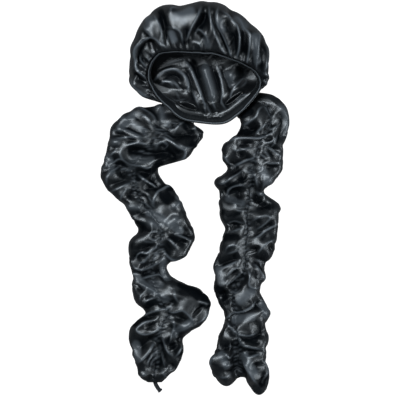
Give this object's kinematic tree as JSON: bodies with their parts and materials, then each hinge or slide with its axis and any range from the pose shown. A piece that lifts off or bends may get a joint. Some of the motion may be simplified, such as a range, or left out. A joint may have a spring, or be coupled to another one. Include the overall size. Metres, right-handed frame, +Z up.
{
  "type": "satin bonnet with ruched hair sleeves",
  "caption": "Gathered satin bonnet with an elastic band round its opening and long ruched hair sleeves, lying flat with the opening up.",
  "frame": {"origin": "middle of the bonnet's footprint, on the surface that it lies on", "axes": "+Y from the sleeves' ends toward the crown, +X to the right seen from above, +Z up out of the opening"},
  "size_m": [0.342, 0.7238, 0.1151],
  "materials": {
    "black_satin": "satin sheen",
    "band_satin": "stitched elastic casing, more matt",
    "left_sleeve_satin": "satin sheen",
    "right_sleeve_satin": "satin sheen",
    "cord_black": "matt braided cord"
  },
  "bodies": {
    "root": {"crown": "black_satin", "rim_band": "band_satin", "left_sleeve": "left_sleeve_satin", "right_sleeve": "right_sleeve_satin", "drawcord_end": "cord_black"}
  },
  "joints": []
}
